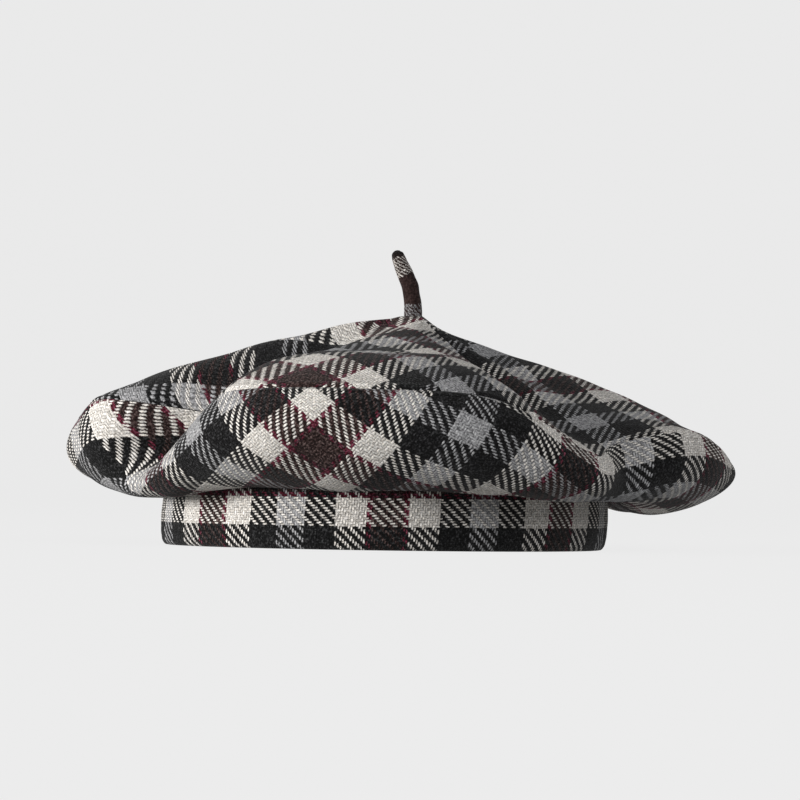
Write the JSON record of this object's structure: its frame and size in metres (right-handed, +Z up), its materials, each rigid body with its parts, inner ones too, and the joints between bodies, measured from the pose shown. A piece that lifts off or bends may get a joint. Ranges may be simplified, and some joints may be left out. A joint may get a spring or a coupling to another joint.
{
  "type": "tam o shanter",
  "caption": "Soft plaid wool cap with a wide domed crown of two panels, an upright headband and a short bent cloth stalk.",
  "frame": {"origin": "on the surface that the cap stands on, under the middle of the cap's outline", "axes": "+Z up along the stalk, -Y to the front of the cap, +X to the viewer's right"},
  "size_m": [0.2718, 0.2538, 0.1212],
  "materials": {
    "plaid_wool": "woven wool twill, matte"
  },
  "bodies": {
    "root": {"crown_top": "plaid_wool", "crown_side": "plaid_wool", "headband": "plaid_wool", "stalk": "plaid_wool"}
  },
  "joints": []
}
